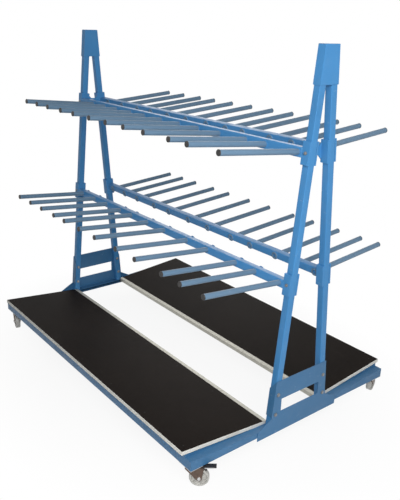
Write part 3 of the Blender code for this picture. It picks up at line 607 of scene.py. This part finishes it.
# Beams and pegs
def peg_row(row, side, generator):
    """One beam with its pegs, their end caps and all its welds."""
    node = "peg_beam_" + row
    points = corners_of(node)
    reach = max(side * p.y for p in points)
    back = min(side * p.y for p in points)
    at_tips = [p for p in points if side * p.y > reach - TIP_DEPTH]
    at_heels = [p for p in points if side * p.y < back + HEEL_DEPTH]
    tips = [middle(group) for group in clusters(at_tips, PEG_APART)]
    heels = [middle(group) for group in clusters(at_heels, PEG_APART)]
    out = (tips[0] - heels[0]).normalized()
    tip_at = max((p - tips[0]).dot(out) for p in points)
    heel_at = min((p - tips[0]).dot(out) for p in points)
    near_tip = [p for p in at_tips if abs(p.x - tips[0].x) < PEG_APART]
    near_heel = [p for p in at_heels if abs(p.x - tips[0].x) < PEG_APART]
    peg_r = max((p - tips[0]).cross(out).length for p in near_tip)
    collar_r = max((p - tips[0]).cross(out).length for p in near_heel)
    bore_r = min((p - tips[0]).cross(out).length for p in near_heel)

    # The beam's cross-section, from its near end, with rounded corners
    end_x = max(p.x for p in points)
    rim = [p for p in points if p.x > end_x - END_DEPTH]
    centre = middle(rim)
    centre.x = 0
    lift = out.cross(LATERAL)
    half = max(abs((p - centre).dot(out)) for p in rim)
    outline = []
    for quarter in range(4):
        a0 = pi / 2 * quarter
        hub = (Vector((cos(a0 + pi / 4), sin(a0 + pi / 4))) * sqrt(2)) * (half - BEAM_CORNER)
        for k in range(CORNER_STEPS + 1):
            a = a0 + pi / 2 * k / CORNER_STEPS
            outline.append((hub.x + BEAM_CORNER * cos(a), hub.y + BEAM_CORNER * sin(a)))
    bm = bmesh.new()
    shrink = (half - BEAM_WALL) / half
    rings = [[bm.verts.new(centre + out * a * f + lift * b * f + LATERAL * x) for a, b in outline]
             for f, x in ((1, -end_x), (1, end_x), (shrink, end_x), (shrink, -end_x))]
    skin(bm, rings, closed=True)
    beam = piece("beam_" + row, bm, BEAM_PAINT, CHASSIS)
    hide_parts(node)

    tubes, caps, beads = bmesh.new(), bmesh.new(), bmesh.new()
    face_out = (centre - tips[0]).dot(out) + half
    face_in = face_out - 2 * half
    lip_at = tip_at - PEG_CAP_LIP
    lip_r = peg_r + PEG_CAP_PROUD
    tube = [(bore_r, face_in), (bore_r, heel_at), (collar_r - COLLAR_CHAMFER, heel_at),
            (collar_r, heel_at + COLLAR_CHAMFER), (collar_r, face_in), (peg_r, face_in), (peg_r, lip_at),
            (bore_r, lip_at)]
    cap = [(bore_r - SEAT, lip_at - PEG_CAP_LIP), (bore_r - SEAT, lip_at + SEAT), (lip_r, lip_at + SEAT)]
    cap += rounded(lip_r, tip_at, PEG_CAP_LIP * PEG_CAP_ROUND_SHARE, PEG_CAP_ROUND_STEPS)
    cap += [(lip_r * PEG_CAP_FLAT_SHARE, tip_at)]
    for tip in tips:
        place = axes_along(out, tip)
        turned(tubes, tube, place, PEG_SIDES, closed=True)
        turned(caps, cap, place, PEG_SIDES)
        for face, weld_r in ((face_out, peg_r + BEAD_R / 2), (face_in, collar_r + BEAD_R / 4)):
            around = ring_points(place @ Matrix.Translation((0, 0, face)), weld_r)
            bead(beads, around, True, generator)
    piece("pegs_" + row, tubes, PEG_PAINT, CHASSIS)
    piece("peg_caps_" + row, caps, BLACK_FINISH, CHASSIS)

    # The welds at the beam's two ends, one along each of its four faces
    for x, e in ((-end_x, -1), (end_x, 1)):
        corner = [centre + out * a * half + lift * b * half + LATERAL * (x - BEAD_R / 2 * e)
                  for a, b in ((-1, 1), (1, 1), (1, -1), (-1, -1))]
        for start, end in zip(corner, corner[1:] + corner[:1]):
            along = run_points(start.lerp(end, BEAD_RUN_INSET), end.lerp(start, BEAD_RUN_INSET))
            bead(beads, along, False, generator)
    piece("peg_welds_" + row, beads, WELD_PAINT, CHASSIS)


# What is fastened to the legs
def saddle_bolts(generator):
    """One hexagonal bolt head on the outer side of each saddle."""
    bm = bmesh.new()
    for level in LEVELS:
        for end, _ in ENDS:
            for side, s in SIDES:
                node = "saddle_lower_%s_%s" % (end, side) if level == "lower" else "saddle_tie_upper_" + end
                low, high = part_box(node)
                centre, slope = leg_centre(end, side, s, (low.z + high.z) / 2)
                outward = Vector((0, 1, s * slope)).normalized() * s
                mine = [p for p in corners_of(node) if abs(p.y - centre.y) < SADDLE_NEAR]
                reach = max((p - centre).dot(outward) for p in mine)
                place = axes_along(outward, centre + outward * (reach + SEAT))
                hex_bolt(bm, place, M8_HEAD_R, M8_HEAD_H, M8_WASHER_R, generator.uniform(0, pi))
    piece("saddle_bolts", bm, DULL_ZINC_FINISH, CHASSIS)


def gusset_bolts(generator):
    """A bolt head on each gusset's face and a nut on the leg behind it."""
    for end, e in ENDS:
        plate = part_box("foot_gusset_" + end)
        for side, _ in SIDES:
            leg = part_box("leg_%s_%s" % (end, side))
            for level in BOLT_LEVELS:
                node = "gusset_bolt_%s_%s_%s" % (end, side, level)
                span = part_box(node)
                middle_y, middle_z = ((span[0] + span[1]) / 2).yz
                bm = bmesh.new()
                for seat_on, way in ((plate, e), (leg, -e)):
                    face = seat_on[1].x if way > 0 else seat_on[0].x
                    tip = span[1].x if way > 0 else span[0].x
                    place = axes_along(LATERAL * way, Vector((face + way * SEAT, middle_y, middle_z)))
                    height = abs(tip - face) - WASHER_T - SEAT
                    hex_bolt(bm, place, M10_HEAD_R, height, M10_WASHER_R, generator.uniform(0, pi))
                bolt = piece("bolt_" + node, bm, DULL_ZINC_FINISH, CHASSIS)
                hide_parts(node)


# Decks
def deck_screws():
    """Countersunk screws in a row along both long edges of each deck."""
    bm = bmesh.new()
    for side, s in SIDES:
        up = deck_up(side)
        low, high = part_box("deck_" + side)
        top = max(corners_of("deck_" + side), key=lambda p: p.dot(up)).dot(up)
        rows = (min(abs(low.y), abs(high.y)) + SCREW_INNER_EDGE, max(abs(low.y), abs(high.y)) - SCREW_EDGE)
        run = high.x - low.x - 2 * SCREW_EDGE
        count = int(run / SCREW_PITCH)
        profile = [(SCREW_HEAD_R * SCREW_CONE_SHARE, -SEAT)] + rounded(SCREW_HEAD_R, SEAT, SEAT)
        profile += [(SCREW_RECESS, SEAT), (SCREW_RECESS * SCREW_RECESS_TAPER, -SEAT)]
        for y in rows:
            for k in range(count + 1):
                x = low.x + SCREW_EDGE + run / count * k
                z = (top - s * y * up.y) / up.z
                turned(bm, profile, axes_along(up, Vector((x, s * y, z + SEAT))), SCREW_SIDES)
    piece("deck_screws", bm, DARK_SCREW_FINISH, CHASSIS)


# Casters
def wheel(corner):
    """A cast wheel with a crowned tread, a rim, ribs over a thin web, and a hub with its bearing cover."""
    node = "caster_wheel_" + corner
    axis, centre = joint_line("roll_" + corner)
    points = [p - centre for p in corners_of(node)]
    hub_half = max(abs(p.dot(axis)) for p in points)
    radius = max(p.cross(axis).length for p in points)
    bore = min(p.cross(axis).length for p in points)
    tread_half = max(abs(p.dot(axis)) for p in points if p.cross(axis).length > radius * TREAD_SHARE)
    rim_r, hub_r = radius * RIM_SHARE, radius * HUB_SHARE
    web_half = tread_half * WEB_SHARE
    half = [(bore, hub_half), (bore + COVER_W, hub_half), (bore + COVER_FOOT, hub_half - COVER_PROUD),
            (hub_r - CAST_ROUND, hub_half - COVER_PROUD), (hub_r, hub_half - HUB_DROP),
            (hub_r + CAST_ROUND, web_half), (rim_r - CAST_ROUND, web_half), (rim_r, web_half + CAST_ROUND),
            (rim_r + RIM_LIP, tread_half - RIM_LIP), (rim_r + CAST_ROUND, tread_half)]
    half += [(radius - drop, tread_half - step) for drop, step in CROWN]
    place = axes_along(axis, centre)
    bm = bmesh.new()
    turned(bm, half + [(r, -h) for r, h in reversed(half)], place, WHEEL_SIDES, closed=True)
    made = piece("wheel_" + corner, bm, NYLON_FINISH, "wheel_" + corner)
    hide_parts(node)

    bm = bmesh.new()
    at = Matrix.Translation(((hub_r + rim_r) / 2, 0, 0))
    size = Matrix.Diagonal((rim_r - hub_r + RIB_OVERLAP, RIB_T, (tread_half - RIB_SET_BACK) * 2, 1))
    for k in range(RIB_COUNT):
        turn = place @ Matrix.Rotation(2 * pi / RIB_COUNT * k + RIB_TURN, 4, "Z")
        bmesh.ops.create_cube(bm, size=1, matrix=turn @ at @ size)
    bmesh.ops.bevel(bm, geom=list(bm.edges), offset=RIB_ROUND, segments=EDGE_STEPS, affect="EDGES")
    piece("wheel_ribs_" + corner, bm, NYLON_FINISH, "wheel_" + corner)


def axle(corner, generator):
    """A shank through the fork with a hexagonal head on each cheek."""
    node = "caster_axle_" + corner
    axis, centre = joint_line("roll_" + corner)
    points = [p - centre for p in corners_of(node)]
    outer = max(p.dot(axis) for p in points)
    head_r = max(p.cross(axis).length for p in points)
    seat = min(p.dot(axis) for p in points if p.dot(axis) > 0)
    shank_r = head_r * SHANK_SHARE
    bm = bmesh.new()
    turned(bm, [(shank_r, -seat), (shank_r, seat)], axes_along(axis, centre), SHANK_SIDES)
    for way in (1, -1):
        cheek = axes_along(axis * way, centre + axis * way * seat)
        hex_bolt(bm, cheek, head_r, outer - seat - WASHER_T, head_r, generator.uniform(0, pi))
    made = piece("axle_" + corner, bm, ZINC_FINISH, "swivel_" + corner)
    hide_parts(node)


def race_ring(corner):
    """The dust ring of the ball race under a caster's plate."""
    _, at = joint_line("swivel_" + corner)
    plate_low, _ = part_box("caster_plate_" + corner)
    bm = bmesh.new()
    turned(bm, RACE_RING, axes_along(UP, Vector((at.x, at.y, plate_low.z))), RACE_SIDES, closed=True)
    piece("race_ring_" + corner, bm, ZINC_FINISH, CHASSIS)


def pedal_straps(corner):
    """Bright metal straps down both sides of a brake pedal."""
    if "brake_" + corner not in JOINTS:
        return
    axis, pivot = joint_line("brake_" + corner)
    out = axis.cross(UP)
    points = [p - pivot for p in corners_of("brake_pedal_" + corner)]
    reach = max(p.dot(out) for p in points)
    half = max(abs(p.dot(axis)) for p in points if p.dot(out) > reach * STRAP_END_SHARE)
    start = pivot + out * STRAP_FROM
    end = pivot + out * reach * STRAP_END_SHARE + UP * STRAP_RISE
    along = (end - start).normalized()
    turn = Matrix((along, axis, along.cross(axis))).transposed().to_4x4()
    size = Matrix.Diagonal(((end - start).length, STRAP_T, STRAP_H, 1))
    bm = bmesh.new()
    for way in (-1, 1):
        place = Matrix.Translation((start + end) / 2 + axis * way * (half + SEAT + STRAP_T / 2))
        bmesh.ops.create_cube(bm, size=1, matrix=place @ turn @ size)
    piece("pedal_straps_" + corner, bm, ZINC_FINISH, "brake_" + corner, smooth=False)


def build_casters(generator):
    for corner in CORNERS:
        wheel(corner)
        axle(corner, generator)
        race_ring(corner)
        pedal_straps(corner)


# Floor, lights and camera
def build_stage():
    """A dull pale floor that looks white to the camera and in gloss, and keeps the cart's shadow."""
    bm = bmesh.new()
    bmesh.ops.create_grid(bm, x_segments=1, y_segments=1, size=FLOOR_HALF)
    mesh = bpy.data.meshes.new("floor")
    bm.to_mesh(mesh)
    bm.free()
    floor = shown("floor", mesh)
    floor.location = (0, 0, -SEAT)
    g = Graph("pale_floor")
    g.finish(FLOOR_TONE, rough=0.9, specular=0.1)
    glow = g.node("ShaderNodeEmission")
    g.feed(glow.inputs["Color"], FLOOR_GLOW)
    rays = g.node("ShaderNodeLightPath")
    distance = g.node("ShaderNodeVectorMath", operation="LENGTH")
    g.feed(distance.inputs[0], g.stretched(FLOOR_SHAPE))
    white = g.span(distance.outputs["Value"], *FLOOR_FADE, to_low=FLOOR_WHITE)
    looked_at = g.math("MAXIMUM", rays.outputs["Is Camera Ray"], rays.outputs["Is Glossy Ray"])
    both = g.node("ShaderNodeMixShader")
    g.feed(both.inputs[0], g.math("MULTIPLY", looked_at, white))
    g.tree.links.new(g.shader.outputs["BSDF"], both.inputs[1])
    g.tree.links.new(glow.outputs["Emission"], both.inputs[2])
    g.tree.links.new(both.outputs["Shader"], g.tree.nodes["Material Output"].inputs["Surface"])
    mesh.materials.append(g.material)


def build_world():
    """A dim even light, which looks plain white to the camera, in gloss and through glass."""
    world = bpy.data.worlds.new("studio")
    bpy.context.scene.world = world
    world.use_nodes = True
    tree = world.node_tree
    background = tree.nodes["Background"]
    background.inputs["Color"].default_value = (1, 1, 1, 1)
    rays = tree.nodes.new("ShaderNodeLightPath")
    looked_at = rays.outputs["Is Camera Ray"]
    for kind in ("Is Glossy Ray", "Is Transmission Ray"):
        either = tree.nodes.new("ShaderNodeMath")
        either.operation = "MAXIMUM"
        tree.links.new(looked_at, either.inputs[0])
        tree.links.new(rays.outputs[kind], either.inputs[1])
        looked_at = either.outputs[0]
    level = tree.nodes.new("ShaderNodeMapRange")
    tree.links.new(looked_at, level.inputs["Value"])
    level.inputs["To Min"].default_value = WORLD_LIGHT
    level.inputs["To Max"].default_value = WORLD_SEEN
    tree.links.new(level.outputs["Result"], background.inputs["Strength"])


def area_light(name, place, target, size, power):
    light = bpy.data.lights.new(name, "AREA")
    light.shape = "DISK"
    light.size = size
    light.energy = power
    light.color = LAMP_WHITE
    obj = shown(name, light)
    obj.location = place
    obj.rotation_mode = "QUATERNION"
    obj.rotation_quaternion = (Vector(target) - Vector(place)).to_track_quat("-Z", "Y")


def build_camera():
    data = bpy.data.cameras.new("camera")
    data.lens = CAMERA_LENS_MM
    data.sensor_width = CAMERA_SENSOR_MM
    data.clip_end = CAMERA_FAR
    camera = shown("camera", data)
    level = cos(CAMERA_PITCH)
    forward = Vector((-sin(CAMERA_YAW) * level, cos(CAMERA_YAW) * level, sin(CAMERA_PITCH)))
    right = Vector((cos(CAMERA_YAW), sin(CAMERA_YAW), 0))
    up = right.cross(forward)
    across = right * cos(CAMERA_ROLL) + up * sin(CAMERA_ROLL)
    upward = up * cos(CAMERA_ROLL) - right * sin(CAMERA_ROLL)
    turn = Matrix((across, upward, -forward)).transposed().to_4x4()
    camera.matrix_world = Matrix.Translation(CAMERA_AT) @ turn
    bpy.context.scene.camera = camera


def main():
    generator = random.Random(SEED)
    dress_solids()
    for level in LEVELS:
        for side, s in SIDES:
            peg_row(level + "_" + side, s, generator)
    saddle_bolts(generator)
    gusset_bolts(generator)
    deck_screws()
    build_casters(generator)
    build_stage()
    build_world()
    for light in LIGHTS:
        area_light(*light)
    build_camera()
    bpy.context.scene.view_settings.view_transform = "Standard"


main()
